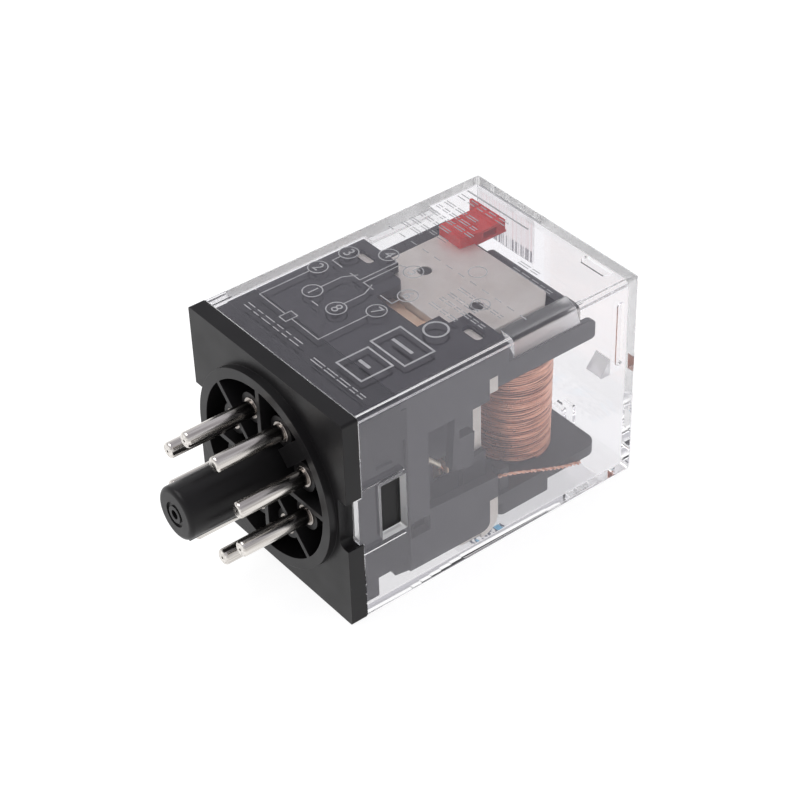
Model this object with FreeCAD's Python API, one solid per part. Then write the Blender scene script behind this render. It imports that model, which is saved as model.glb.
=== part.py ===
import FreeCAD, Part
import math
import os

# Plug-in relay with two changeover poles and an eight-pin round plug, lying on its side.
# Millimetres. +X is the relay's width, +Y runs from the plug to the closed end of the cover and +Z is up.
# The origin is the centre of the pin circle on the seating face of the base.

Vector = FreeCAD.Vector

# ---- driving dimensions ----
SIDE = 34.5                  # outside width and height of base and cover
HALF = SIDE / 2
COVER_END = 51.4             # closed end of the cover, from the seating face
WALL = 1.4                   # cover wall
END_WALL = 1.5
PLATE = 2.5                  # thickness of the base plate
DECK_TOP = 5.3               # inner face of the base
INNER = HALF - WALL          # inner face of the cover walls
FIT = 0.15                   # gap between the base skirt and the cover

PIN_CIRCLE_R = 8.725
PIN_COUNT = 8
PIN_R = 1.18
PIN_TIP = -11.0
SPIGOT_R = 1.0
SPIGOT_END = 6.4
POST_R = 3.95
POST_TIP = -15.6
RING_INNER_R = 13.4
RING_OUTER_R = 15.0
RING_FRONT = -1.2
PIN_COLLAR_R = 1.6
PIN_COLLAR_T = 0.2
PIN_WELL_Y = 3.4             # floor of the hollow inside the ring
KEY_RIDGE = 1.0              # how far the key ridge stands out of the centre post
SNAP = 0.5                   # how far each snap nub stands out of its cheek

SHEET = 1.45                 # yoke sheet thickness
YOKE_FRONT = 25.4            # face of the yoke that looks at the contacts
YOKE_BACK = YOKE_FRONT + SHEET
HINGE_Z = 12.8               # upper edge of the yoke's tongue, where the armature rocks
TONGUE_HALF_X = 2.0
ARMATURE_T = 1.2
ARMATURE_TILT = 4.2          # degrees from rest to pulled in
COIL_Y = 36.7                # coil axis
CORE_HALF_X = 8.5
CORE_HALF_Y = 2.0
TENON_HALF_X = 7.0
TUBE_WALL = 0.85
WINDING_HALF_X = 12.5
WINDING_HALF_Y = 6.1
LOWER_FLANGE = (-11.75, -10.05)
UPPER_FLANGE = (9.25, 10.5)
RIM_TOP = 12.55
FLANGE_HALF_X = 15.1
FLANGE_FAR = 45.9
FLANGE_CORNER_R = 2.0
RIM_FAR = 44.95              # far edge of the bobbin's upper flange
RIM_CORNER_R = 0.6
RIM_ROUND_R = 1.7            # rounding of the rim's far upper edge
RIM_SLOT_X = (10.5, 14.2)    # slot that sets the rim's side arms free at their far ends
POLE_GAP_LEFT = 0.05         # air gap that stays when the armature is pulled in
FRAME_HALF = 15.4
FRAME_TOP = (14.2, 15.75)
FRAME_BACK = 28.7
FRAME_WALL_X = 14.0          # inner face of the frame's side walls
SCREEN_X = (11.4, 11.8)      # thin screen between the contacts and the wiring beside them

BLADE_Y = (19.9, 20.15)
BLADE_X = (5.0, 11.0)
BLADE_Z = (-9.9, 9.6)
STRIP = 0.5                  # fixed terminal sheet
CONTACT_X = 8.0
CONTACT_Z = -6.25
CONTACT_R = 1.4
OPEN_FACE = 17.78            # face of the normally open contact
CLOSED_FACE = 20.8           # face of the normally closed contact
CARD_LEG_X = (6.6, 9.6)
CARD_LEG_Y = (23.5, 25.0)
CARD_FINGER_TIP = 20.2
STAKE_X = 5.6
STAKE_Y = 31.85
STAKE_HOLE_R = 1.05


# ---- helpers ----
def box(x, y, z):
    """A block between the two ends of each range."""
    return Part.makeBox(x[1] - x[0], y[1] - y[0], z[1] - z[0], Vector(x[0], y[0], z[0]))


def rod(radius, y0, y1, x=0.0, z=0.0):
    """A cylinder along Y."""
    return Part.makeCylinder(radius, y1 - y0, Vector(x, y0, z), Vector(0, 1, 0))


def post(radius, z0, z1, x, y):
    """A cylinder along Z."""
    return Part.makeCylinder(radius, z1 - z0, Vector(x, y, z0), Vector(0, 0, 1))


def mirrored(shape):
    """The same piece on the other side of the relay's middle plane."""
    return shape.mirror(Vector(0, 0, 0), Vector(1, 0, 0))


def fused(first, *others):
    return first.fuse(list(others)).removeSplitter()


def outline(points, place):
    """Closed wire through (u, v) or (u, v, corner radius) points; place turns (u, v) into a vector."""
    corners = []
    count = len(points)
    for i, point in enumerate(points):
        here = Vector(point[0], point[1], 0)
        radius = point[2] if len(point) > 2 else 0.0
        before = Vector(points[i - 1][0], points[i - 1][1], 0) - here
        after = Vector(points[(i + 1) % count][0], points[(i + 1) % count][1], 0) - here
        if radius <= 0:
            corners.append((here, here, here))
            continue
        half = before.getAngle(after) / 2
        reach = radius / math.tan(half)
        before.normalize()
        after.normalize()
        middle = (before + after).normalize()
        summit = here + middle * (radius / math.sin(half) - radius)
        corners.append((here + before * reach, summit, here + after * reach))
    edges = []
    for i, (start, summit, end) in enumerate(corners):
        if (end - start).Length > 1e-6:
            edges.append(Part.Arc(place(start), place(summit), place(end)).toShape())
        following = corners[(i + 1) % count][0]
        if (following - end).Length > 1e-6:
            edges.append(Part.makeLine(place(end), place(following)))
    return Part.Wire(edges)


def prism_x(points, x0, x1):
    """A plate cut to a (y, z) outline."""
    wire = outline(points, lambda p: Vector(x0, p.x, p.y))
    return Part.Face(wire).extrude(Vector(x1 - x0, 0, 0))


def prism_y(points, y0, y1):
    """A plate cut to an (x, z) outline."""
    wire = outline(points, lambda p: Vector(p.x, y0, p.y))
    return Part.Face(wire).extrude(Vector(0, y1 - y0, 0))


def prism_z(points, z0, z1):
    """A plate cut to an (x, y) outline."""
    wire = outline(points, lambda p: Vector(p.x, p.y, z0))
    return Part.Face(wire).extrude(Vector(0, 0, z1 - z0))


def rectangle(u, v, radius=0.0):
    """Corner points of a rectangle, each with the same corner radius."""
    return [(u[0], v[0], radius), (u[1], v[0], radius), (u[1], v[1], radius), (u[0], v[1], radius)]


def bent_strip(path, thickness, bend, x0, x1):
    """Sheet strip that follows a (y, z) centre line, bent with one centre-line radius."""
    points = [Vector(p[0], p[1], 0) for p in path]
    runs = [(b - a).normalize() for a, b in zip(points, points[1:])]
    sides = {}
    for side in (1, -1):
        edge = []
        for i, point in enumerate(points):
            one = runs[max(i - 1, 0)]
            two = runs[min(i, len(runs) - 1)]
            normal_one = Vector(-one.y, one.x, 0) * side
            normal_two = Vector(-two.y, two.x, 0) * side
            miter = (normal_one + normal_two).normalize()
            shift = miter * (thickness / 2 / miter.dot(normal_one))
            turn = one.cross(two).z * side
            radius = 0.0
            if abs(turn) > 1e-6:
                radius = bend - math.copysign(thickness / 2, turn)
            edge.append((point.x + shift.x, point.y + shift.y, radius))
        sides[side] = edge
    return prism_x(sides[1] + sides[-1][::-1], x0, x1)


def wire_tube(name, route, radius):
    """Round wire along straight runs joined by arcs as large as the shorter run allows."""
    points = [Vector(*p) for p in route]
    edges = []
    radii = []
    start = points[0]
    for before, corner, after in zip(points, points[1:], points[2:]):
        back = before - corner
        ahead = after - corner
        half = back.getAngle(ahead) / 2
        reach = 0.45 * min(back.Length, ahead.Length)
        bend = reach * math.tan(half)
        radii.append(round(bend, 2))
        back.normalize()
        ahead.normalize()
        first = corner + back * reach
        last = corner + ahead * reach
        summit = corner + (back + ahead).normalize() * (bend / math.sin(half) - bend)
        edges.append(Part.makeLine(start, first))
        edges.append(Part.Arc(first, summit, last).toShape())
        start = last
    edges.append(Part.makeLine(start, points[-1]))
    path = Part.Wire(edges)
    length = path.Length
    direction = points[1] - points[0]
    ring = Part.Wire([Part.makeCircle(radius, points[0], direction)])
    tube = path.makePipeShell([ring], True, False)
    expected = math.pi * radius ** 2 * length
    print(name, "length", round(length, 2), "volume ratio", round(tube.Volume / expected, 4), "radii", radii)
    return tube


def pin_centre(number):
    """(x, z) of a plug pin: pin 1 is the first one clockwise from the key, seen from the plug end."""
    angle = math.radians(-90 - 22.5 - 45 * (number - 1))
    return PIN_CIRCLE_R * math.cos(angle), PIN_CIRCLE_R * math.sin(angle)


# ---- base and plug ----
def make_base():
    skirt = HALF - WALL - FIT
    plate = prism_y(rectangle((-HALF, HALF), (-HALF, HALF), 0.4), 0, PLATE)
    deck = prism_y(rectangle((-skirt, skirt), (-skirt, skirt), 0.6), PLATE, DECK_TOP)
    ring = rod(RING_OUTER_R, RING_FRONT, 0)
    body = fused(plate, deck, ring)
    body = body.cut(rod(RING_INNER_R, RING_FRONT - 1, PIN_WELL_Y))
    hood = box((-skirt + 1.4, skirt - 1.4), (DECK_TOP, 10.0), (FRAME_TOP[0], skirt - 0.2))
    cheek = snap_cheek(skirt)
    body = fused(body, hood, cheek, mirrored(cheek), *plug_ribs(), *key_post())
    tip_ring = rod(1.9, POST_TIP - 1, POST_TIP + 0.25).cut(rod(1.3, POST_TIP - 1, POST_TIP + 1))
    tip_centre = rod(0.7, POST_TIP - 1, POST_TIP + 0.6)
    notch = prism_y([(HALF - 1.8, -4.0, 1.0), (HALF + 1, -4.0), (HALF + 1, 4.2), (HALF - 1.8, 4.2, 0.3)],
                    -1, PLATE)
    holes = [rod(SPIGOT_R + 0.02, -2, 7, *pin_centre(n)) for n in range(1, PIN_COUNT + 1)]
    return body.cut([tip_ring, tip_centre, notch, mirrored(notch)] + holes)


def plug_ribs():
    """Ribs between the pins, the wider block beside the post and the sleeve round each pin."""
    ribs = []
    across = (POST_R - 0.5, RING_INNER_R + 0.4)
    for step in range(8):
        if step == 1:
            continue
        rib = box(across, (RING_FRONT, PIN_WELL_Y), (-0.4, 0.4))
        rib.rotate(Vector(0, 0, 0), Vector(0, 1, 0), -45 * step)
        ribs.append(rib)
    block = box((5.2, across[1]), (-0.3, PIN_WELL_Y), (-1.4, 1.4))
    block.rotate(Vector(0, 0, 0), Vector(0, 1, 0), -45)
    ribs.append(block)
    for number in range(1, PIN_COUNT + 1):
        ribs.append(rod(2.3, 0, PIN_WELL_Y, *pin_centre(number)))
    return ribs


def key_post():
    """Round centre post and the key ridge along its underside."""
    post_body = rod(POST_R, POST_TIP, PIN_WELL_Y)
    tip = [e for e in post_body.Edges if e.BoundBox.YMax < POST_TIP + 0.1]
    ridge = box((-1.1, 1.1), (POST_TIP + 1.2, PIN_WELL_Y), (-POST_R - KEY_RIDGE, 0))
    outer = [e for e in ridge.Edges if e.BoundBox.ZMax < -POST_R]
    return post_body.makeFillet(0.7, tip), ridge.makeFillet(0.5, outer)


def snap_cheek(skirt):
    """Upright at one side of the base with the nub that snaps into the cover's window."""
    cheek = prism_x([(DECK_TOP, -12.15), (7.6, -12.15, 0.3), (8.1, -13.4, 0.3), (11.0, -13.9),
                     (11.0, FRAME_TOP[0]), (10.0, FRAME_TOP[0]), (10.0, skirt - 0.2),
                     (DECK_TOP, skirt - 0.2)], skirt - 1.4, skirt)
    recess = box((skirt - 0.5, skirt + 1), (5.6, 10.6), (3.9, 9.4)).cut(box((0, 20), (5, 8.4), (3.9, 6.6)))
    nub = prism_x([(6.0, -4.5, 0.4), (9.2, -4.5, 0.4), (9.2, 3.9, 0.2), (6.0, 3.9, 0.2)],
                  skirt - 0.5, skirt + SNAP)
    return fused(cheek.cut(recess), nub)


def make_pin(number):
    x, z = pin_centre(number)
    shank = rod(PIN_R, PIN_TIP, -0.1, x, z)
    shank = shank.makeFillet(0.45, [e for e in shank.Edges if e.BoundBox.YMax < PIN_TIP + 0.1])
    collar = rod(PIN_COLLAR_R, -PIN_COLLAR_T, 0, x, z)
    collar = collar.makeFillet(0.12, [e for e in collar.Edges if e.BoundBox.YMax < -PIN_COLLAR_T + 0.05])
    spigot = rod(SPIGOT_R, 0, SPIGOT_END, x, z)
    tip_hole = rod(0.2, PIN_TIP - 1, PIN_TIP + 0.7, x, z)
    return fused(shank, collar, spigot).cut(tip_hole)


# ---- cover ----
def make_cover():
    outer = prism_y(rectangle((-HALF, HALF), (-HALF, HALF), 0.6), PLATE, COVER_END)
    end_edges = [e for e in outer.Edges if e.BoundBox.YMin > COVER_END - 0.1]
    outer = outer.makeFillet(0.45, end_edges)
    mouth_edges = [e for e in outer.Edges if e.BoundBox.YMax < PLATE + 0.1]
    outer = outer.makeChamfer(0.15, mouth_edges)
    cavity = prism_y(rectangle((-INNER, INNER), (-INNER, INNER), 0.3), PLATE - 1, COVER_END - END_WALL)
    shell = outer.cut(cavity)
    deep = INNER + 0.2
    rail = prism_y([(13.6, deep), (deep, deep), (deep, 13.6)], 29.2, 41.0)
    tongue = box((HALF - WALL, HALF), (1.9, PLATE + 0.5), (-3.8, 4.0))
    end = COVER_END - END_WALL
    lug = prism_x([(end + 0.4, -1.25), (end - 2.15, -1.25, 0.3), (end, 1.46), (end + 0.4, 1.46)], 9.9, 12.9)
    stop = fused(prism_y(rectangle((3.6, 5.9), (-HALF + 0.4, -11.05), 0.35), end - 0.5, end + 0.4),
                 prism_y(rectangle((2.0, 4.5), (-HALF + 0.4, -12.2), 0.35), end - 1.4, end + 0.4))
    shell = fused(shell, rail, mirrored(rail), tongue, mirrored(tongue), lug, stop)
    window = prism_x(rectangle((5.7, 9.9), (-5.0, 4.35), 0.25), INNER - 1, HALF + 1)
    slit_top = box((INNER - 1, HALF + 1), (PLATE - 1, 9.7), (5.1, 5.3))
    slit_low = box((INNER - 1, HALF + 1), (PLATE - 1, 9.7), (-5.95, -5.75))
    cuts = [window, slit_top, slit_low]
    shell = shell.cut(cuts + [mirrored(cut) for cut in cuts])
    top_slot = prism_z([(8.6, 49.1, 0.4), (9.3, 47.5, 0.4), (14.0, 47.5, 0.4), (14.7, 49.1, 0.4)],
                       HALF - 0.5, HALF + 1)
    side_slot = prism_x(rectangle((47.5, 48.7), (3.35, 14.05), 0.5), HALF - 0.5, HALF + 1)
    return shell.cut([top_slot, side_slot, end_label_recess(), bottom_label_recess()])


def end_label_recess():
    return prism_y(rectangle((-16.3, -3.6), (7.6, 16.5), 0.5), COVER_END - 0.08, COVER_END)


def bottom_label_recess():
    return prism_z(rectangle((-14.5, 15.6), (20.0, 46.0), 0.8), -HALF, -HALF + 0.08)


# ---- contact frame ----
def make_contact_frame():
    left_step = -7.5
    right_step = 8.0
    top_outline = [(-FRAME_HALF, 10.0), (FRAME_HALF, 10.0), (FRAME_HALF, FRAME_BACK),
                   (right_step, FRAME_BACK), (right_step, 25.1), (5.9, 25.1), (5.9, 21.3), (-3.2, 21.3),
                   (-3.2, 26.5, 1.5), (left_step, 26.5), (left_step, FRAME_BACK), (-FRAME_HALF, FRAME_BACK)]
    top = prism_z(top_outline, *FRAME_TOP)
    wall_outline = [(11.0, -14.55), (25.3, -14.75, 1.3), (25.3, -9.7), (26.8, -9.7), (26.8, -6.0),
                    (14.65, -5.3), (14.65, 8.0), (19.2, 8.0), (18.6, -0.8, 0.4), (22.4, -1.8, 0.4),
                    (22.6, 4.2), (20.0, 4.2), (20.0, 8.0), (25.3, 8.0), (25.3, 11.6), (YOKE_BACK, 11.6),
                    (YOKE_BACK, 12.7), (FRAME_BACK, 12.7), (FRAME_BACK, 14.2), (11.0, 14.2)]
    wall = prism_x(wall_outline, FRAME_WALL_X, FRAME_HALF)
    pocket = box((13, 16), (11.3, 14.65), (-8.8, -6.2))
    wall = wall.cut(pocket)
    bottom = prism_x([(11.0, -14.75), (25.3, -14.75, 1.15), (25.3, -13.55), (11.0, -13.55)], -14.0, 14.0)
    barrier = box((-0.6, 0.6), (11.0, 21.6), (-13.55, 14.2))
    bridge = box((4.6, 12.0), (18.2, 22.2), (10.9, 14.2))
    screen = box(SCREEN_X, (14.6, 25.3), (-13.6, FRAME_TOP[0] + 0.2))
    tab_slot = box((11, 12), (18.2, 21.0), (-4.6, -1.2))
    guard = prism_x([(22.7, -13.6), (25.3, -13.6), (25.3, -9.65), (YOKE_BACK, -9.65), (YOKE_BACK, -3.0),
                     (22.7, -3.4)], 11.75, 12.7)
    sides = [wall, bridge, screen.cut(tab_slot), guard]
    parts = [bottom, barrier] + sides + [mirrored(side) for side in sides]
    frame = fused(top, *parts)
    peg_hole = prism_z(rectangle((10.0, 13.6), (YOKE_FRONT - 0.1, YOKE_BACK + 0.1), 0.65), 13, 17)
    clip_slot = box(BLADE_X, (19.85, 20.25), (9, 13.7))
    cuts = [peg_hole, clip_slot]
    return frame.cut(cuts + [mirrored(cut) for cut in cuts])


# ---- magnet system ----
def make_yoke():
    half = [(0, -11.75), (0, HINGE_Z), (TONGUE_HALF_X, HINGE_Z), (TONGUE_HALF_X, 12.45), (6.3, 12.45),
            (6.3, 11.1), (13.5, 11.1), (13.5, 11.5), (15.3, 11.5, 0.3), (15.3, 8.85, 0.3), (11.7, 8.85),
            (11.7, -9.75), (15.3, -9.75, 0.3), (15.3, -12.7), (8.0, -12.7), (8.0, -11.75)]
    leg = prism_y(half, YOKE_FRONT, YOKE_BACK)
    peg = prism_z(rectangle((10.1, 13.5), (YOKE_FRONT, YOKE_BACK), 0.6), 11.0, 15.2)
    bend = prism_x([(YOKE_BACK, -12.6), (YOKE_BACK, -15.8, 3.0), (19.9, -15.8), (19.9, -14.85),
                    (YOKE_FRONT, -14.85, 1.4), (YOKE_FRONT, -12.6)], 11.9, 15.3)
    foot_plan = prism_z([(11.9, 19.9), (14.75, 19.9, 1.2), (14.75, 23.8), (15.3, 23.8), (15.3, 27.0),
                         (11.9, 27.0)], -16, -12)
    side = fused(leg, peg, bend.common(foot_plan))
    legs = fused(side, mirrored(side))
    corner = YOKE_FRONT + SHEET / 2
    lower = bent_strip([(corner, -10.5), (corner, -12.475), (43.0, -12.475)], SHEET, 1.2, -8.0, 8.0)
    hollow = core_shape(CORE_HALF_X, 1.0, (-14, -9))
    hollow = hollow.common(box((-TENON_HALF_X, TENON_HALF_X), (30, 44), (-14, -9)))
    below_bend = box((-8.0, 8.0), (YOKE_FRONT - 1, YOKE_BACK + 1), (-13.5, -10.5))
    return fused(legs.cut(below_bend), lower.cut(hollow))


def core_shape(half_x, corner, z, grow=0.0):
    """Upright block with the core's section, or a larger one."""
    x = (-half_x - grow, half_x + grow)
    y = (COIL_Y - CORE_HALF_Y - grow, COIL_Y + CORE_HALF_Y + grow)
    return prism_z(rectangle(x, y, corner), *z)


def make_core():
    shaft = core_shape(CORE_HALF_X, 1.0, (LOWER_FLANGE[0], pole_height()))
    tenon = core_shape(TENON_HALF_X, 0.0, (-13.4, LOWER_FLANGE[0]))
    return fused(shaft, tenon)


def pole_height():
    """The pole face sits where the tilted armature just stays clear of it."""
    reach = COIL_Y + CORE_HALF_Y - YOKE_BACK
    return HINGE_Z - reach * math.sin(math.radians(ARMATURE_TILT)) - POLE_GAP_LEFT


def make_bobbin():
    front = YOKE_BACK + 0.1
    flanges = []
    for far, corner, zone in ((FLANGE_FAR, FLANGE_CORNER_R, LOWER_FLANGE),
                              (RIM_FAR, RIM_CORNER_R, (UPPER_FLANGE[0], RIM_TOP))):
        flanges.append(prism_z([(-FLANGE_HALF_X, front), (FLANGE_HALF_X, front), (FLANGE_HALF_X, far, corner),
                                (-FLANGE_HALF_X, far, corner)], *zone))
    lower, upper = flanges
    rounded = prism_x([(front, UPPER_FLANGE[0]), (RIM_FAR, UPPER_FLANGE[0], 1.1),
                       (RIM_FAR, RIM_TOP, RIM_ROUND_R), (front, RIM_TOP)], -FLANGE_HALF_X, FLANGE_HALF_X)
    upper = upper.common(rounded)
    well = prism_z([(-12.3, front - 1), (12.3, front - 1), (12.3, 42.3, 1.0), (-12.3, 42.3, 1.0)],
                   UPPER_FLANGE[1], 20)
    flag_gap = box((-14.2, -5.2), (41, 47), (UPPER_FLANGE[1], 20))
    slot = box(RIM_SLOT_X, (41.4, 47), (UPPER_FLANGE[0] - 1, 20))
    upper = upper.cut([well, flag_gap, slot, mirrored(slot)])
    tube = core_shape(CORE_HALF_X, 2.0, (LOWER_FLANGE[1] - 0.2, UPPER_FLANGE[0] + 0.2), TUBE_WALL)
    block = prism_z([(9.0, 27.3, 0.4), (FLANGE_HALF_X, 27.3, 1.0), (FLANGE_HALF_X, 36.5, 0.4),
                     (9.0, 36.5, 0.4)], -13.9, LOWER_FLANGE[0] + 0.2)
    prop = box((12.8, 14.5), (27.9, 29.5), (LOWER_FLANGE[1] - 0.2, -6.1))
    body = fused(lower, upper, tube, block, mirrored(block), prop, mirrored(prop))
    shaft = core_shape(CORE_HALF_X, 1.0, (-13, 14))
    bend_room = box((-8.3, 8.3), (front - 1, front + 0.5), (-12.0, -11.4))
    return body.cut([shaft, bend_room])


def make_winding():
    zone = (LOWER_FLANGE[1], UPPER_FLANGE[0])
    depth = (COIL_Y - WINDING_HALF_Y, COIL_Y + WINDING_HALF_Y)
    outside = prism_z(rectangle((-WINDING_HALF_X, WINDING_HALF_X), depth, WINDING_HALF_Y - 0.05), *zone)
    return outside.cut(core_shape(CORE_HALF_X, 2.0, zone, TUBE_WALL))


def make_armature():
    top = HINGE_Z + ARMATURE_T
    plan = [(-9.75, YOKE_FRONT), (9.75, YOKE_FRONT), (9.75, 27.5), (11.25, 27.5), (11.25, 39.3), (9.05, 41.5),
            (-9.05, 41.5), (-11.25, 39.3), (-11.25, 27.5), (-9.75, 27.5)]
    plate = prism_z(plan, HINGE_Z, top)
    plate = plate.makeFillet(0.18, [e for e in plate.Edges if e.BoundBox.ZMin > top - 0.01])
    return plate.cut(stake_holes())


def stake_holes():
    return [post(STAKE_HOLE_R, 10, 16, x, STAKE_Y) for x in (-STAKE_X, STAKE_X)]


def make_card():
    front, back = CARD_LEG_Y
    arm_outline = [(33.4, 11.3), (33.4, 12.5), (front, 12.5), (front, -8.55), (CARD_FINGER_TIP, -8.55, 0.3),
                   (CARD_FINGER_TIP, -9.45, 0.3), (front, -9.45), (front, -10.3), (back, -10.3), (back, 11.3)]
    arm = prism_x(arm_outline, *CARD_LEG_X)
    pad = box((7.2, CARD_LEG_X[1]), (27.3, 33.4), (12.4, HINGE_Z))
    stake = post(STAKE_HOLE_R - 0.05, 11.5, HINGE_Z + ARMATURE_T - 0.15, STAKE_X, STAKE_Y)
    deck = box((-9.6, 9.6), (27.3, 33.4), (11.3, 12.5))
    crossbar = box((-9.6, 9.6), CARD_LEG_Y, (-10.3, -8.3))
    sides = [arm, pad, stake]
    return fused(deck, crossbar, *sides, *[mirrored(side) for side in sides])


def make_hinge_spring():
    centre = HINGE_Z - 0.15
    path = [(33.3, centre), (22.9, centre), (22.9, 10.2), (25.25, 9.2), (25.25, 4.0)]
    leaf = bent_strip(path, 0.3, 0.7, -6.2, 6.2)
    window = box((-TONGUE_HALF_X - 0.1, TONGUE_HALF_X + 0.1), (YOKE_FRONT - 0.2, YOKE_BACK + 0.2), (12, 13))
    return leaf.cut([window] + stake_holes())


def make_flag():
    top = 15.65
    seat = HINGE_Z + ARMATURE_T
    body = prism_z([(-11.3, 39.0, 0.3), (-6.5, 39.0, 0.3), (-6.0, 42.6, 0.3), (-6.0, 47.2, 0.3),
                    (-11.3, 47.2, 0.3)], seat, top)
    chin = box((-11.3, -6.0), (41.6, 47.2), (seat - 0.3, seat))
    fin = prism_z([(-13.6, 46.6, 0.2), (-11.0, 46.6), (-11.0, 47.2), (-13.6, 47.2, 0.2)], seat - 0.3, top)
    pocket = box((-9.8, -5.0), (42.9, 45.4), (seat + 0.15, top - 0.4))
    return fused(body, chin, fin).cut(pocket)


# ---- contacts ----
def make_blade():
    hole = rod(0.7, 19, 21, CONTACT_X, CONTACT_Z)
    leaf = prism_y([(BLADE_X[0], BLADE_Z[1]), (BLADE_X[1], BLADE_Z[1]), (BLADE_X[1], -2.0), (12.8, -2.0, 0.3),
                    (12.8, -3.6, 0.3), (BLADE_X[1], -3.6), (BLADE_X[1], -8.2, 0.5), (10.0, BLADE_Z[0], 0.5),
                    (6.0, BLADE_Z[0], 0.5), (BLADE_X[0], -8.2, 0.5)], *BLADE_Y)
    return leaf.cut(hole)


def make_moving_contact():
    front = rod(CONTACT_R, 19.3, BLADE_Y[0], CONTACT_X, CONTACT_Z)
    shank = rod(0.7, BLADE_Y[0], BLADE_Y[1], CONTACT_X, CONTACT_Z)
    back = rod(CONTACT_R, BLADE_Y[1], 20.75, CONTACT_X, CONTACT_Z)
    return fused(front, shank, back)


def make_blade_clip():
    return box(BLADE_X, (19.85, 20.25), (BLADE_Z[1] + 0.06, 13.7))


def make_open_terminal():
    """Normally open side: stands on pins 3 and 6 and ends in front of the blade."""
    x, z = pin_centre(6)
    plate_y = (OPEN_FACE - 0.6 - STRIP, OPEN_FACE - 0.6)
    foot = box((x - 1.5, x + 1.5), (DECK_TOP, DECK_TOP + STRIP), (z - 1.5, z + 1.9))
    riser = box((x - 1.5, x + 1.5), (DECK_TOP, plate_y[1]), (z + 1.4, z + 1.9))
    plate = prism_y([(6.0, -8.0, 0.6), (10.0, -8.0, 0.6), (10.0, z + 1.9), (6.0, z + 1.9)], *plate_y)
    body = fused(foot, riser, plate)
    return body.cut([rod(SPIGOT_R + 0.02, 0, 8, x, z), rod(0.7, 16, 18, CONTACT_X, CONTACT_Z)])


def make_closed_terminal():
    """Normally closed side: stands on pins 4 and 5 and ends behind the blade."""
    x, z = pin_centre(5)
    plate_y = (CLOSED_FACE + 0.5, CLOSED_FACE + 0.5 + STRIP)
    foot = box((x - 1.4, x + 1.35), (DECK_TOP, DECK_TOP + STRIP), (z - 1.5, z + 1.9))
    riser = box((x - 1.4, x + 1.35), (DECK_TOP, plate_y[1]), (z + 1.4, z + 1.9))
    plate = prism_y([(x - 1.4, 6.0, 0.4), (6.0, 6.0, 0.4), (6.0, -8.0, 0.6), (10.0, -8.0, 0.6),
                     (10.0, z + 1.9, 0.6), (x - 1.4, z + 1.9)], *plate_y)
    body = fused(foot, riser, plate)
    return body.cut([rod(SPIGOT_R + 0.02, 0, 8, x, z), rod(0.7, 21, 22, CONTACT_X, CONTACT_Z)])


def make_open_contact():
    back = OPEN_FACE - 0.6
    head = rod(CONTACT_R + 0.1, back, OPEN_FACE, CONTACT_X, CONTACT_Z)
    shank = rod(0.7, back - STRIP, back, CONTACT_X, CONTACT_Z)
    tail = rod(1.0, back - STRIP - 0.2, back - STRIP, CONTACT_X, CONTACT_Z)
    return fused(head, shank, tail)


def make_closed_contact():
    front = CLOSED_FACE + 0.5
    head = rod(CONTACT_R + 0.1, CLOSED_FACE, front, CONTACT_X, CONTACT_Z)
    shank = rod(0.7, front, front + STRIP, CONTACT_X, CONTACT_Z)
    tail = rod(1.0, front + STRIP, front + STRIP + 0.15, CONTACT_X, CONTACT_Z)
    return fused(head, shank, tail)


# ---- wiring inside the cover ----
def make_coil_strap():
    x, z = pin_centre(7)
    foot = box((x - 1.4, 12.85), (DECK_TOP, DECK_TOP + STRIP), (z - 1.5, z + 1.3))
    riser = box((12.35, 12.85), (DECK_TOP, 16.4), (-8.6, z + 1.0))
    return fused(foot, riser).cut(rod(SPIGOT_R + 0.02, 0, 8, x, z))


def make_coil_lead():
    route = [(12.6, 43.4, -12.3), (15.46, 42.6, -12.3), (15.46, 27.5, -6.4), (13.4, 27.2, -8.3),
             (13.25, 13.5, -8.05)]
    return wire_tube("coil_lead", route, 0.33)


def make_flexible_lead():
    route = [(12.2, 19.4, -3.1), (12.75, 18.2, -0.9), (12.75, 15.8, 1.5), (12.0, 12.9, 0.8),
             (10.6, 10.9, -3.0), (8.2, 9.6, -6.6), (5.2, 8.6, -7.9), (3.3, 6.9, -8.06)]
    return wire_tube("flexible_lead", route, 0.45)


def main():
    os.makedirs("parts", exist_ok=True)
    pieces = {
        "base": make_base(),
        "cover": make_cover(),
        "end_label": end_label_recess(),
        "bottom_label": bottom_label_recess(),
        "contact_frame": make_contact_frame(),
        "yoke": make_yoke(),
        "core": make_core(),
        "bobbin": make_bobbin(),
        "coil_winding": make_winding(),
        "armature": make_armature(),
        "actuator_card": make_card(),
        "hinge_spring": make_hinge_spring(),
        "indicator_flag": make_flag(),
    }
    for number in range(1, PIN_COUNT + 1):
        pieces["contact_pin_%d" % number] = make_pin(number)
    handed = {
        "moving_blade": make_blade(),
        "moving_contact": make_moving_contact(),
        "blade_clip": make_blade_clip(),
        "open_terminal": make_open_terminal(),
        "open_contact": make_open_contact(),
        "closed_terminal": make_closed_terminal(),
        "closed_contact": make_closed_contact(),
        "coil_strap": make_coil_strap(),
        "coil_lead": make_coil_lead(),
        "flexible_lead": make_flexible_lead(),
    }
    for name, shape in handed.items():
        pieces[name + "_right"] = shape
        pieces[name + "_left"] = mirrored(shape)
    for name, shape in pieces.items():
        shape.exportStep("parts/%s.step" % name)
        print(name, "solids", len(shape.Solids), "valid", shape.isValid(), "volume", round(shape.Volume, 2))


main()
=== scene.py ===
import math
import random

import bmesh
import bpy
from mathutils import Matrix, Vector, noise


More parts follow.
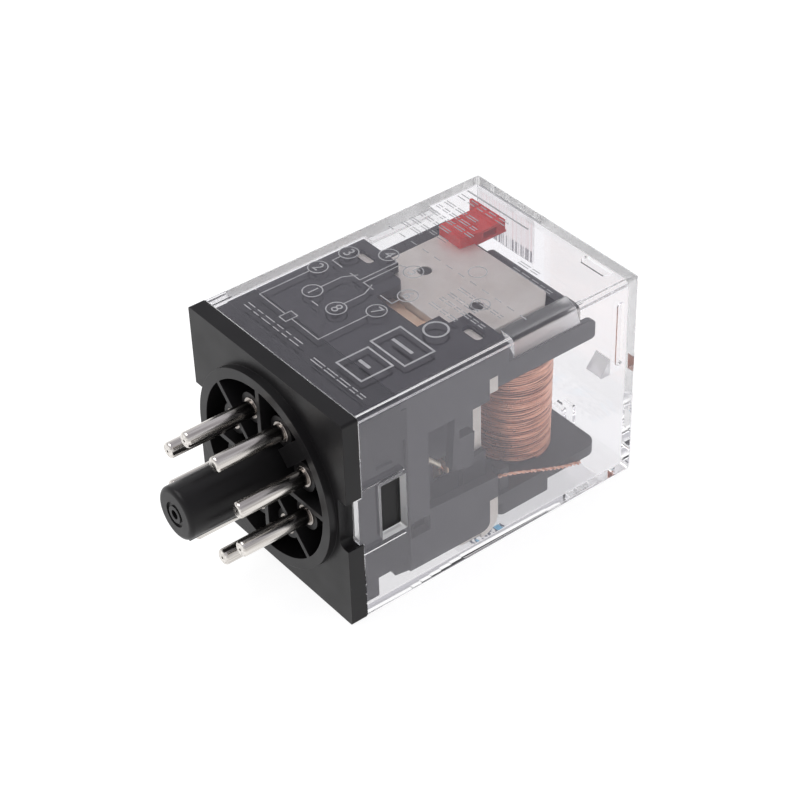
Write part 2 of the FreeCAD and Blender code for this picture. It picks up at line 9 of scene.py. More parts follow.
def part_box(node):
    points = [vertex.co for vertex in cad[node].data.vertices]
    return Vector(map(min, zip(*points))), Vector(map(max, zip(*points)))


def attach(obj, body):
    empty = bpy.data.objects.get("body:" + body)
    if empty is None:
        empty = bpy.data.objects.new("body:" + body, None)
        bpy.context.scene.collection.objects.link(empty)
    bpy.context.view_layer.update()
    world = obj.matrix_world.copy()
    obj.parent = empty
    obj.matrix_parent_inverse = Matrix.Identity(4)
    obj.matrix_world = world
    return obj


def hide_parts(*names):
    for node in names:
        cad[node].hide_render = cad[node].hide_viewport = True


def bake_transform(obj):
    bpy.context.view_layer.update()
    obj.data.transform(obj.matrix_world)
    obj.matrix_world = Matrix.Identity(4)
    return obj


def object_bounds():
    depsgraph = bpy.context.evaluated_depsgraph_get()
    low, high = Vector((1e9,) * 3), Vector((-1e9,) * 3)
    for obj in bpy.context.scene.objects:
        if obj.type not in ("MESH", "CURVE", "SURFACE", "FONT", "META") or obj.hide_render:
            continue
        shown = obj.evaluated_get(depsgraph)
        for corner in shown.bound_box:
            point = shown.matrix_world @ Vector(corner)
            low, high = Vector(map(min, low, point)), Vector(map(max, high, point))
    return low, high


# The looks of a plug-in relay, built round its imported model. Objects are in metres and MM turns millimetres
# into metres. +Z is the printed face, -Y the plug end and +X the side where the coil shows.

MM = 0.001

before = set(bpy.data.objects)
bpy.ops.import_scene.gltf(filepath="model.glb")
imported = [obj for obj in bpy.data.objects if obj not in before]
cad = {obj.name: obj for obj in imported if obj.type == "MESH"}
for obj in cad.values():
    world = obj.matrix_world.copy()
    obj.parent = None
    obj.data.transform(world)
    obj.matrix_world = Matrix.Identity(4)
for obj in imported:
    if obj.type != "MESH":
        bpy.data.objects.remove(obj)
cad_box = [list(corner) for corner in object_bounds()]

TOP = cad_box[1][2] / MM                          # printed face of the cover


def box_mm(node):
    low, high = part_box(node)
    return low / MM, high / MM


# ---------------------------------------------------------------- camera, floor and light
def make_camera():
    """Looks down on the printed face and the coil side, from the plug end."""
    azimuth = math.radians(52.73)
    elevation = math.radians(38.14)
    roll = math.radians(-1.93)
    distance = 307.5
    aim = Vector((0, 25.0, 0))
    shift_right = 1.97
    shift_up = 1.09
    back = Vector((math.sin(azimuth) * math.cos(elevation), -math.cos(azimuth) * math.cos(elevation),
                   math.sin(elevation)))
    level = Vector((0, 0, 1)).cross(back).normalized()
    upright = back.cross(level)
    right = level * math.cos(roll) + upright * math.sin(roll)
    up = upright * math.cos(roll) - level * math.sin(roll)
    place = aim + back * distance - right * shift_right - up * shift_up
    data = bpy.data.cameras.new("camera")
    data.sensor_width = 36
    data.lens = 98.04
    data.clip_start = 0.01
    data.clip_end = 20
    camera = bpy.data.objects.new("camera", data)
    turn = Matrix((right, up, back)).transposed().to_4x4()
    camera.matrix_world = Matrix.Translation(place * MM) @ turn
    bpy.context.scene.collection.objects.link(camera)
    bpy.context.scene.camera = camera


def make_floor():
    """A pale floor just under the relay, as bright as the light tent beside it."""
    mesh = bpy.data.meshes.new("floor")
    reach = 3.0
    level = cad_box[0][2] - 0.02 * MM
    corners = [(-reach, -reach, level), (reach, -reach, level), (reach, reach, level), (-reach, reach, level)]
    mesh.from_pydata(corners, [], [(0, 1, 2, 3)])
    floor = bpy.data.objects.new("floor", mesh)
    bpy.context.scene.collection.objects.link(floor)
    look = Look("pale_floor", roughness=0.7, emission=0.88)
    look.shader.inputs["Emission Color"].default_value = (1.0, 1.0, 1.0, 1.0)
    look.colour(look.texture("ShaderNodeTexNoise", 9.0), (0.24, 0.24, 0.24), (0.26, 0.26, 0.26))
    mesh.materials.append(look.material)


def make_world():
    """A light tent: white below and at the sides, dimmer and faintly lilac overhead."""
    world = bpy.data.worlds.new("light_tent")
    world.use_nodes = True
    nodes = world.node_tree.nodes
    links = world.node_tree.links
    background = nodes["Background"]
    place = nodes.new("ShaderNodeTexCoord")
    parts = nodes.new("ShaderNodeSeparateXYZ")
    ramp = nodes.new("ShaderNodeValToRGB")
    links.new(place.outputs["Generated"], parts.inputs[0])
    links.new(parts.outputs["Z"], ramp.inputs["Fac"])
    ramp.color_ramp.elements[0].position = 0.0
    ramp.color_ramp.elements[0].color = (1.0, 1.0, 1.0, 1)
    ramp.color_ramp.elements[1].position = 0.75
    ramp.color_ramp.elements[1].color = (0.56, 0.553, 0.60, 1)
    links.new(ramp.outputs["Color"], background.inputs["Color"])
    background.inputs["Strength"].default_value = 0.95
    bpy.context.scene.world = world
    bpy.context.scene.view_settings.view_transform = "Standard"
    paths = bpy.context.scene.cycles
    paths.max_bounces = 40
    paths.transmission_bounces = 40
    paths.glossy_bounces = 12


def make_lamp(name, place, size, power):
    """A soft box that faces the middle of the relay."""
    data = bpy.data.lights.new(name, "AREA")
    data.shape = "SQUARE"
    data.size = size
    data.energy = power
    lamp = bpy.data.objects.new(name, data)
    lamp.location = place
    lamp.rotation_euler = (Vector((0, 0.02, 0)) - Vector(place)).to_track_quat("-Z", "Y").to_euler()
    bpy.context.scene.collection.objects.link(lamp)


# ---------------------------------------------------------------- materials
class Look:
    """One Principled material, with procedural inputs added by its methods."""

    def __init__(self, name, metallic=0.0, roughness=0.5, ior=1.5, transmission=0.0, coat=0.0, emission=0.0):
        self.material = bpy.data.materials.new(name)
        self.material.use_nodes = True
        self.tree = self.material.node_tree
        self.shader = self.tree.nodes["Principled BSDF"]
        settings = {"Metallic": metallic, "Roughness": roughness, "IOR": ior,
                    "Transmission Weight": transmission, "Coat Weight": coat, "Emission Strength": emission}
        for socket, value in settings.items():
            self.shader.inputs[socket].default_value = value
        self.place = self.tree.nodes.new("ShaderNodeTexCoord").outputs["Object"]
        self.normal = None

    def stretched(self, factors):
        """Object coordinates multiplied along each axis."""
        node = self.tree.nodes.new("ShaderNodeMapping")
        node.inputs["Scale"].default_value = factors
        self.tree.links.new(self.place, node.inputs["Vector"])
        return node.outputs["Vector"]

    def texture(self, kind, scale, place=None, **inputs):
        node = self.tree.nodes.new(kind)
        node.inputs["Scale"].default_value = scale
        for socket, value in inputs.items():
            node.inputs[socket].default_value = value
        self.tree.links.new(place or self.place, node.inputs["Vector"])
        return node.outputs["Fac" if "Fac" in node.outputs else "Distance"]

    def ramp(self, value, low, high, start=0.3, end=0.7):
        node = self.tree.nodes.new("ShaderNodeMapRange")
        for socket, number in zip(("From Min", "From Max", "To Min", "To Max"), (start, end, low, high)):
            node.inputs[socket].default_value = number
        self.tree.links.new(value, node.inputs["Value"])
        return node.outputs["Result"]

    def mixed(self, value, first, second, start=0.3, end=0.7):
        """A colour that goes from first to second; either may be a socket."""
        node = self.tree.nodes.new("ShaderNodeMix")
        node.data_type = "RGBA"
        self.tree.links.new(self.ramp(value, 0, 1, start, end), node.inputs["Factor"])
        for socket, paint in zip((node.inputs[6], node.inputs[7]), (first, second)):
            if isinstance(paint, tuple):
                socket.default_value = (*paint, 1)
            else:
                self.tree.links.new(paint, socket)
        return node.outputs[2]

    def math(self, operation, first, second=0.0):
        node = self.tree.nodes.new("ShaderNodeMath")
        node.operation = operation
        for socket, value in zip(node.inputs, (first, second)):
            if isinstance(value, (int, float)):
                socket.default_value = value
            else:
                self.tree.links.new(value, socket)
        return node.outputs["Value"]

    def axes(self):
        """Object coordinates as three separate values."""
        node = self.tree.nodes.new("ShaderNodeSeparateXYZ")
        self.tree.links.new(self.place, node.inputs[0])
        return node.outputs

    def zone(self, *limits):
        """1 inside a region given as (value, low, high) limits in millimetres, else 0."""
        inside = None
        for value, low, high in limits:
            span = self.math("MULTIPLY", self.math("GREATER_THAN", value, low * MM),
                             self.math("LESS_THAN", value, high * MM))
            inside = self.math("MULTIPLY", inside, span) if inside else span
        return inside

    def colour(self, value, first, second, start=0.3, end=0.7):
        self.tree.links.new(self.mixed(value, first, second, start, end), self.shader.inputs["Base Color"])

    def roughness(self, value, low, high, start=0.3, end=0.7):
        self.tree.links.new(self.ramp(value, low, high, start, end), self.shader.inputs["Roughness"])

    def round_edges(self, radius):
        node = self.tree.nodes.new("ShaderNodeBevel")
        node.samples = 4
        node.inputs["Radius"].default_value = radius
        self.normal = node.outputs["Normal"]
        self.tree.links.new(self.normal, self.shader.inputs["Normal"])

    def bump(self, height, distance, strength=1.0):
        node = self.tree.nodes.new("ShaderNodeBump")
        node.inputs["Distance"].default_value = distance
        node.inputs["Strength"].default_value = strength
        self.tree.links.new(height, node.inputs["Height"])
        if self.normal:
            self.tree.links.new(self.normal, node.inputs["Normal"])
        self.normal = node.outputs["Normal"]
        self.tree.links.new(self.normal, self.shader.inputs["Normal"])


def moulded_plastic(name, dark, light, rough, grain=0.0012, specular=0.5):
    """Satin moulded plastic: very fine grain, faint flow shading and softly rounded edges."""
    look = Look(name)
    look.round_edges(0.12 * MM)
    look.shader.inputs["Specular IOR Level"].default_value = specular
    flow = look.texture("ShaderNodeTexNoise", 140.0, Detail=3.0)
    look.colour(flow, dark, light)
    look.roughness(look.texture("ShaderNodeTexNoise", 240.0, Detail=1.0), rough - 0.04, rough + 0.05)
    look.bump(look.texture("ShaderNodeTexNoise", 900.0, Detail=1.0), grain * MM, 0.2)
    return look.material


def clear_plastic():
    """Clear polycarbonate with a faint lilac tint and moulding waves. The cut faces of the snap windows, the
    corner rails, the wedge and the open end are more or less matt. Light that has been bent or thrown back
    many times blurs, except in the lowest wall."""
    look = Look("clear_polycarbonate", ior=1.58, transmission=1.0)
    look.shader.inputs["Specular Tint"].default_value = (0.92, 0.90, 1.0, 1.0)
    depth = look.tree.nodes.new("ShaderNodeLightPath").outputs["Ray Depth"]
    body = look.mixed(look.texture("ShaderNodeTexNoise", 60.0), (0.922, 0.917, 0.932), (0.947, 0.942, 0.955))
    look.colour(depth, body, (0.972, 0.969, 0.976), 3.0, 8.0)
    x, y, z = look.axes()
    beside = look.math("ABSOLUTE", x)
    slope = look.math("ADD", beside, z)
    window = look.zone((beside, 15.86, 18.0), (y, 5.65, 9.95), (z, -5.04, 4.4))
    wedge = look.zone((x, 9.8, 13.0), (y, 47.5, 49.8), (z, -1.4, 1.6))
    rail = look.zone((beside, 13.62, 16.0), (z, 13.62, 16.0), (slope, 29.0, 29.75), (y, 29.1, 41.1))
    mouth = look.zone((y, 2.0, 2.51))
    above_lowest_wall = look.math("GREATER_THAN", z, -15.5 * MM)
    total = look.ramp(look.texture("ShaderNodeTexNoise", 420.0, Detail=6.0), 0.0, 0.035, 0.62, 0.85)
    blur = look.math("MULTIPLY", look.ramp(depth, 0.0, 0.5, 5.0, 10.0), above_lowest_wall)
    total = look.math("MAXIMUM", total, blur)
    for mask, matt in ((window, 0.55), (wedge, 0.3), (rail, 0.48), (mouth, 0.1)):
        total = look.math("MAXIMUM", total, look.math("MULTIPLY", mask, matt))
    look.tree.links.new(total, look.shader.inputs["Roughness"])
    look.bump(look.texture("ShaderNodeTexNoise", 110.0, Detail=1.0), 0.004 * MM, 0.35)
    return look.material


def metal(name, dark, light, rough, stretch=(1, 1, 1), metallic=1.0):
    """Plated or bare metal with patchy tone and fine scratches, drawn out along the axis whose factor in
    stretch is the smallest."""
    look = Look(name, metallic=metallic)
    look.round_edges(0.06 * MM)
    look.colour(look.texture("ShaderNodeTexNoise", 260.0, Detail=4.0), dark, light)
    lines = look.texture("ShaderNodeTexNoise", 1500.0, look.stretched(stretch), Detail=3.0)
    look.roughness(lines, rough - 0.06, rough + 0.1)
    look.bump(lines, 0.003 * MM, 0.5)
    return look.material


def plated_pin():
    """Bright nickel with drawn streaks along the pin, and a painted reflection of the black base that darkens
    it where it meets the base.
    """
    look = Look("bright_nickel", metallic=1.0)
    look.round_edges(0.06 * MM)
    streaks = look.texture("ShaderNodeTexNoise", 2600.0, look.stretched((1, 0.03, 1)), Detail=3.0)
    bright = look.mixed(streaks, (0.50, 0.47, 0.44), (0.76, 0.73, 0.69), 0.35, 0.6)
    y = look.axes()["Y"]
    # painted reflection: the pin turns darker towards the base, standing in for the black base mirrored in
    # the nickel
    look.colour(y, bright, (0.30, 0.27, 0.25), -3.2 * MM, 0.4 * MM)
    look.roughness(streaks, 0.11, 0.24)
    look.bump(streaks, 0.006 * MM, 0.6)
    return look.material


def wire_enamel():
    """Enamelled copper: each turn differs a little from the next."""
    look = Look("enamelled_copper", metallic=0.8, roughness=0.3, coat=0.5)
    look.shader.inputs["Coat Roughness"].default_value = 0.15
    look.shader.inputs["Coat IOR"].default_value = 1.6
    turns = look.texture("ShaderNodeTexNoise", 420.0, look.stretched((0.25, 0.25, 6.0)), Detail=2.0)
    tone = look.mixed(turns, (0.44, 0.13, 0.065), (1.0, 0.50, 0.33), 0.38, 0.57)
    look.colour(look.texture("ShaderNodeTexNoise", 300.0, Detail=4.0), tone, (0.72, 0.27, 0.15), 0.35, 1.0)
    look.roughness(look.texture("ShaderNodeTexNoise", 1400.0), 0.26, 0.42)
    return look.material


def red_plastic():
    look = Look("red_moulding", roughness=0.35)
    look.round_edges(0.15 * MM)
    look.shader.inputs["Subsurface Weight"].default_value = 0.35
    look.shader.inputs["Subsurface Scale"].default_value = 0.6 * MM
    look.shader.inputs["Subsurface Radius"].default_value = (1.0, 0.25, 0.2)
    patches = look.texture("ShaderNodeTexNoise", 240.0, Detail=3.0)
    look.colour(patches, (0.95, 0.028, 0.024), (0.99, 0.05, 0.04))
    look.bump(look.texture("ShaderNodeTexNoise", 4000.0), 0.004 * MM, 0.5)
    return look.material


def film(name, transmission, roughness):
    """Thin white film that lets some of the light behind it through."""
    look = Look(name, roughness=roughness, ior=1.2, transmission=transmission)
    look.shader.inputs["Specular IOR Level"].default_value = 0.2
    return look


def bar_print():
    """White film with a row of narrow and wide bars across its width, dark low down and faint above."""
    look = film("bar_label", 0.9, 0.35)
    across = look.stretched((1.0, 0.0, 0.0))
    narrow = look.texture("ShaderNodeTexNoise", 2700.0, across, Detail=1.0)
    z = look.axes()["Z"]
    white = (0.99, 0.985, 0.985)
    dark_bars = look.mixed(narrow, white, (0.12, 0.11, 0.13), 0.50, 0.53)
    faint_bars = look.mixed(narrow, white, (0.90, 0.74, 0.74), 0.50, 0.58)
    bars = look.mixed(z, dark_bars, faint_bars, 9.6 * MM, 9.7 * MM)
    look.colour(z, bars, white, 14.4 * MM, 14.6 * MM)
    return look.material


def block_print():
    """White film with dark and blue blocks over its left and middle, and in one patch near its right edge."""
    look = film("block_label", 0.92, 0.4)
    rows = look.texture("ShaderNodeTexNoise", 420.0, look.stretched((1.0, 1.6, 0.0)), Detail=0.0)
    words = look.texture("ShaderNodeTexNoise", 1500.0, look.stretched((0.8, 1.6, 0.0)), Detail=0.0)
    white = (0.97, 0.97, 0.98)
    dark = look.mixed(words, white, (0.03, 0.04, 0.08), 0.46, 0.52)
    printed = look.mixed(rows, dark, (0.12, 0.45, 0.70), 0.58, 0.62)
    x, y, z = look.axes()
    near = look.zone((x, 14.0, 18.0), (y, 22.5, 28.5))
    far = look.math("LESS_THAN", x, 6.0 * MM)
    look.colour(look.math("MAXIMUM", near, far), white, printed, 0.4, 0.6)
    return look.material


def print_ink():
    look = Look("grey_ink", roughness=0.55)
    look.colour(look.texture("ShaderNodeTexNoise", 900.0, Detail=4.0), (0.30, 0.30, 0.31), (0.42, 0.42, 0.43))
    return look.material


# ---------------------------------------------------------------- mesh helpers
def add_piece(name, mesh, material, body="root", smooth=True):
    piece = bpy.data.objects.new(name, mesh)
    bpy.context.scene.collection.objects.link(piece)
    mesh.materials.clear()
    mesh.materials.append(material)
    for face in mesh.polygons:
        face.use_smooth = smooth
    if body:
        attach(piece, body)
    return piece


def mesh_from(name, build):
    work = bmesh.new()
    for form in build:
        form(work)
    bmesh.ops.recalc_face_normals(work, faces=work.faces)
    mesh = bpy.data.meshes.new(name)
    work.to_mesh(mesh)
    work.free()
    return mesh


def close_rings(work, rings):
    """Side faces between each ring and the next, and a face at both ends."""
    for near, far in zip(rings, rings[1:]):
        for k in range(len(near)):
            after = (k + 1) % len(near)
            work.faces.new((near[k], near[after], far[after], far[k]))
    work.faces.new(rings[0])
    work.faces.new(rings[-1])


def ribbon(points, width, z, thickness, closed=False):
    """A flat stroke along (x, y) points in millimetres, as a thin solid."""
    def build(work):
        count = len(points)
        rings = []
        for i, point in enumerate(points):
            here = Vector(point)
            before = Vector(points[i - 1]) if closed or i > 0 else None
            after = Vector(points[(i + 1) % count]) if closed or i < count - 1 else None
            run_in = (here - before).normalized() if before else (after - here).normalized()
            run_out = (after - here).normalized() if after else run_in
            side_in = Vector((-run_in.y, run_in.x))
            side_out = Vector((-run_out.y, run_out.x))
            miter = (side_in + side_out).normalized()
            reach = miter * (width / 2 / max(miter.dot(side_in), 0.4))
            corners = [here + reach, here - reach]
            rings.append([work.verts.new((c.x * MM, c.y * MM, h * MM))
                          for c, h in ((corners[0], z), (corners[1], z), (corners[1], z + thickness),
                                       (corners[0], z + thickness))])
        last = count if closed else count - 1
        for i in range(last):
            near, far = rings[i], rings[(i + 1) % count]
            for k in range(4):
                work.faces.new((near[k], near[(k + 1) % 4], far[(k + 1) % 4], far[k]))
        if not closed:
            work.faces.new(rings[0])
            work.faces.new(rings[-1])
    return build


def circle(x, y, radius, steps=40):
    return [(x + radius * math.cos(2 * math.pi * i / steps), y + radius * math.sin(2 * math.pi * i / steps))
            for i in range(steps)]


def numeral(text, x, y, height, z, thickness):
    """A plain figure, as a thin solid."""
    def build(work):
        curve = bpy.data.curves.new("numeral", "FONT")
        curve.body = text
        curve.size = height * MM
        curve.extrude = thickness * MM / 2
        curve.resolution_u = 4
        curve.align_x = "CENTER"
        curve.align_y = "CENTER"
        holder = bpy.data.objects.new("numeral", curve)
        bpy.context.scene.collection.objects.link(holder)
        mesh = bpy.data.meshes.new_from_object(holder)
        mesh.transform(Matrix.Translation(Vector((x, y, z + thickness / 2)) * MM))
        work.from_mesh(mesh)
        bpy.data.objects.remove(holder)
        bpy.data.meshes.remove(mesh)
        bpy.data.curves.remove(curve)
    return build


def tube(points, radius, sides=6, closed=False):
    """A round strand along points in millimetres, with frames carried along the path."""
    def build(work):
        count = len(points)
        along = (points[1] - points[0]).normalized()
        side = along.orthogonal().normalized()
        rings = []
        for i, point in enumerate(points):
            ahead = points[min(i + 1, count - 1)] - points[max(i - 1, 0)]
            along = ahead.normalized()
            side = (side - along * side.dot(along)).normalized()
            up = along.cross(side)
            ring = []
            for k in range(sides):
                angle = 2 * math.pi * k / sides
                spot = point + (side * math.cos(angle) + up * math.sin(angle)) * radius
                ring.append(work.verts.new(spot * MM))
            rings.append(ring)
        close_rings(work, rings)
    return build


def smooth_path(route, resolution=12):
    """Points in millimetres along the NURBS curve whose control points are the route."""
    curve = bpy.data.curves.new("route", "CURVE")
    curve.dimensions = "3D"
    spline = curve.splines.new("NURBS")
    spline.points.add(len(route) - 1)
    for point, spot in zip(spline.points, route):
        point.co = (*spot, 1.0)
    spline.order_u = 3
    spline.use_endpoint_u = True
    curve.resolution_u = resolution
    holder = bpy.data.objects.new("route", curve)
    bpy.context.scene.collection.objects.link(holder)
    mesh = bpy.data.meshes.new_from_object(holder)
    points = [vertex.co.copy() for vertex in mesh.vertices]
    bpy.data.objects.remove(holder)
    bpy.data.meshes.remove(mesh)
    bpy.data.curves.remove(curve)
    return points


def strands(route, count, lay_radius, wire_radius, pitch, sides=7):
    """Wires laid round each other along a route."""
    spine = smooth_path(route, 16)
    lengths = [0.0]
    for near, far in zip(spine, spine[1:]):
        lengths.append(lengths[-1] + (far - near).length)
    side = (spine[1] - spine[0]).orthogonal().normalized()
    frames = []
    for i, point in enumerate(spine):
        along = (spine[min(i + 1, len(spine) - 1)] - spine[max(i - 1, 0)]).normalized()
        side = (side - along * side.dot(along)).normalized()
        frames.append((point, side, along.cross(side)))
    built = []
    for number in range(count):
        points = []
        for length, (point, side, up) in zip(lengths, frames):
            angle = 2 * math.pi * (length / pitch + number / count)
            points.append(point + (side * math.cos(angle) + up * math.sin(angle)) * lay_radius)
        built.append(tube(points, wire_radius, sides))
    return built


# ---------------------------------------------------------------- coil and leads
def stadium_point(share, half_x, half_y, radius):
    """A point on a rounded rectangle, by its share of the way round."""
    runs = [2 * (half_y - radius), math.pi / 2 * radius, 2 * (half_x - radius), math.pi / 2 * radius] * 2
    way = share % 1.0 * sum(runs)
    centres = [(half_x - radius, half_y - radius), (-half_x + radius, half_y - radius),
               (-half_x + radius, -half_y + radius), (half_x - radius, -half_y + radius)]
    starts = [(half_x, -half_y + radius), None, (half_x - radius, half_y), None,
              (-half_x, half_y - radius), None, (-half_x + radius, -half_y), None]
    headings = [(0, 1), None, (-1, 0), None, (0, -1), None, (1, 0), None]
    for i, run in enumerate(runs):
        if way <= run or i == len(runs) - 1:
            break
        way -= run
    if i % 2 == 0:
        return starts[i][0] + headings[i][0] * way, starts[i][1] + headings[i][1] * way
    corner = i // 2
    angle = corner * math.pi / 2 + way / radius
    return centres[corner][0] + radius * math.cos(angle), centres[corner][1] + radius * math.sin(angle)


def coil_turns(low, high, wire, pitch, swell, wander, seed):
    """One long wavy helix of wire between two levels, a little uneven in height and depth."""
    middle = (low + high) / 2
    half = (high - low) / 2
    turns = int((high.z - low.z - 2 * wire - 0.04) / pitch)
    steps = 84
    proud = 0.08                  # the wire may stand this far out of the winding's modelled outline
    taper = 0.3                   # the first turn lies this much deeper than the last
    easing = 1.1                  # the rows keep level within this distance of either flange
    points = []
    for i in range(turns * steps + 1):
        turn = i / steps
        round_x = math.cos(2 * math.pi * turn)
        round_y = math.sin(2 * math.pi * turn)
        slow = noise.noise(Vector((round_x * 1.6 + seed, round_y * 1.6, turn * 0.11)))
        stray = noise.noise(Vector((round_x * 2.6, round_y * 2.6 + seed, turn * 0.9)))
        row = noise.noise(Vector((turn * 1.7, seed, 0.4 * round_x)))
        inset = wire - proud + swell * (0.5 - row) + taper * (1 - turn / turns)
        x, y = stadium_point(turn, half.x - inset, half.y - inset, half.y - inset - 0.02)
        rise = low.z + wire + 0.02 + turn * pitch
        room = min(1.0, min(turn, turns - turn) * pitch / easing)
        points.append(Vector((middle.x + x, middle.y + y, rise + room * wander * (slow + 0.25 * stray))))
    return tube(points, wire)


def make_coil():
    """Wound wire: an even layer, a looser layer that crosses over it, and a body of the turns underneath in
    darker copper, painted shade that shows in the gaps between the wires.
    """
    low, high = box_mm("coil_winding")
    layers = [coil_turns(low, high, 0.15, 0.38, 0.12, 0.3, 0.0),
              coil_turns(low, high, 0.13, 1.1, 0.04, 0.75, 7.0)]
    coil = add_piece("coil_turns", mesh_from("coil_turns", layers), LOOKS["copper"])
    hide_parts("coil_winding")
    # the darker copper here is painted shade between the wires, not a different wire
    core = mesh_from("coil_inner_layers", [coil_body(low, high, 0.52)])
    add_piece("coil_inner_layers", core, LOOKS["shaded_copper"])


def coil_body(low, high, inset):
    """A solid of the winding's outline, set in from it all round."""
    middle = (low + high) / 2
    half = (high - low) / 2
    steps = 64
    radius = half.y - inset - 0.04
    outline = [stadium_point(i / steps, half.x - inset, half.y - inset, radius) for i in range(steps)]

    def build(work):
        rings = []
        for level in (low.z + 0.05, high.z - 0.05):
            spots = [Vector((middle.x + x, middle.y + y, level)) for x, y in outline]
            rings.append([work.verts.new(spot * MM) for spot in spots])
        close_rings(work, rings)
    return build


# The coil lead's ends are where its model has them. Between them it goes round the lower flange's corner and
# lies up to 0.8 mm beside the modelled line.
COIL_LEAD_ROUTE = [(12.6, 43.4, -12.3), (15.4, 42.6, -12.2), (15.46, 41.2, -11.4), (15.46, 38.5, -10.8),
                   (15.46, 27.5, -6.0), (13.4, 27.2, -8.3), (13.25, 13.5, -8.05)]
FLEXIBLE_LEAD_ROUTE = [(12.2, 19.4, -3.1), (12.75, 18.2, -0.9), (12.75, 15.8, 1.5), (12.0, 12.9, 0.8),
                       (10.6, 10.9, -3.0), (8.2, 9.6, -6.6), (5.2, 8.6, -7.9), (3.3, 6.9, -8.06)]


def make_leads():
    """The coil's two-strand ends, one strand in a lighter copy of the copper as a painted highlight, and the
    braids of the moving contacts, on both sides.
    """
    for side, sign in (("right", 1), ("left", -1)):
        coil_route = [(x * sign, y, z) for x, y, z in COIL_LEAD_ROUTE]
        # the two strands are the same wire; the lighter one is a painted highlight standing in for light on
        # the crowns of the twist
        for material, wire in zip(("strand", "copper"), strands(coil_route, 2, 0.16, 0.13, 1.6)):
            name = "coil_lead_" + material + "_" + side
            lead = add_piece(name, mesh_from(name, [wire]), LOOKS[material])
            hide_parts("coil_lead_" + side)
        braid_route = [(x * sign, y, z) for x, y, z in FLEXIBLE_LEAD_ROUTE]
        whole = [(12.66 * sign, 18.45, -1.35)] + braid_route[1:]
        loose = braid_route[:3]
        pieces = (("contact_braid_", strands(whole, 6, 0.28, 0.17, 3.2), LOOKS["tinned"], "tinned_braid"),
                  ("loose_strands_", strands(loose, 5, 0.3, 0.07, 5.5, 5), LOOKS["copper"], "copper_wire"))
        for name, forms, material, slot in pieces:
            piece = add_piece(name + side, mesh_from(name + side, forms), material, body=None)
            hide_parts("flexible_lead_" + side)
            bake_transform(piece)


def make_hinge_spring():
    """The spring leaf bends between the yoke and the armature, so it is a finer copy of its model."""
    mesh = cad["hinge_spring"].data.copy()
    work = bmesh.new()
    work.from_mesh(mesh)
    bmesh.ops.remove_doubles(work, verts=work.verts, dist=0.001 * MM)
    long_edges = [edge for edge in work.edges if edge.calc_length() > 2 * MM]
    bmesh.ops.subdivide_edges(work, edges=long_edges, cuts=2, use_grid_fill=True)
    work.to_mesh(mesh)
    work.free()
    spring = add_piece("hinge_spring_leaf", mesh, LOOKS["bronze"], body=None, smooth=False)
    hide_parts("hinge_spring")
    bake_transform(spring)


# ---------------------------------------------------------------- print on the cover
INK = 0.012                                       # thickness of the print
THIN = 0.17                                       # widths of its strokes
BOLD = 0.3


